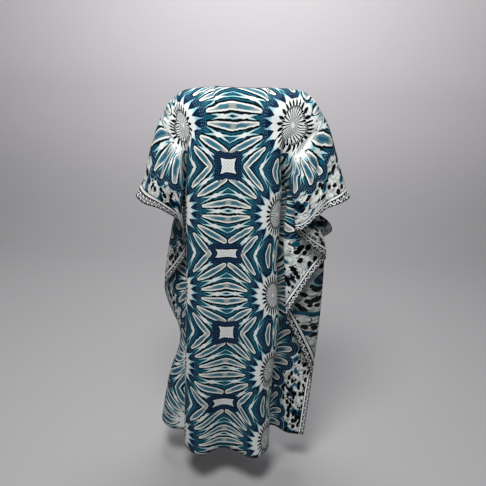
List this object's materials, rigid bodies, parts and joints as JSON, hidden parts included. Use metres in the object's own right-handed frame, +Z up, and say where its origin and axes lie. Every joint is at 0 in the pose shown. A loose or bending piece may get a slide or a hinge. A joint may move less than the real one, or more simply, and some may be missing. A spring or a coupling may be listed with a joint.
{
  "type": "grand boubou robe",
  "caption": "Wide ankle-length robe of two printed cloth panels with open winged sleeves, a scooped neck and free side panels.",
  "frame": {"origin": "between the wearer's shoulders, on the line where the front and back panels meet, 10 mm below the neck edge", "axes": "+Z up, the wearer faces -Y, +X towards the wearer's left arm"},
  "size_m": [0.7888, 0.3845, 1.4031],
  "materials": {
    "back_panel": "smooth printed cotton with a slight sheen",
    "back_left_wing": "smooth printed cotton with a slight sheen",
    "back_right_wing": "smooth printed cotton with a slight sheen",
    "front_panel": "smooth printed cotton with a slight sheen",
    "front_left_wing": "smooth printed cotton with a slight sheen",
    "front_right_wing": "smooth printed cotton with a slight sheen"
  },
  "bodies": {
    "root": {"back_panel": "back_panel", "back_left_wing": "back_left_wing", "back_right_wing": "back_right_wing", "front_panel": "front_panel", "front_left_wing": "front_left_wing", "front_right_wing": "front_right_wing"}
  },
  "joints": []
}
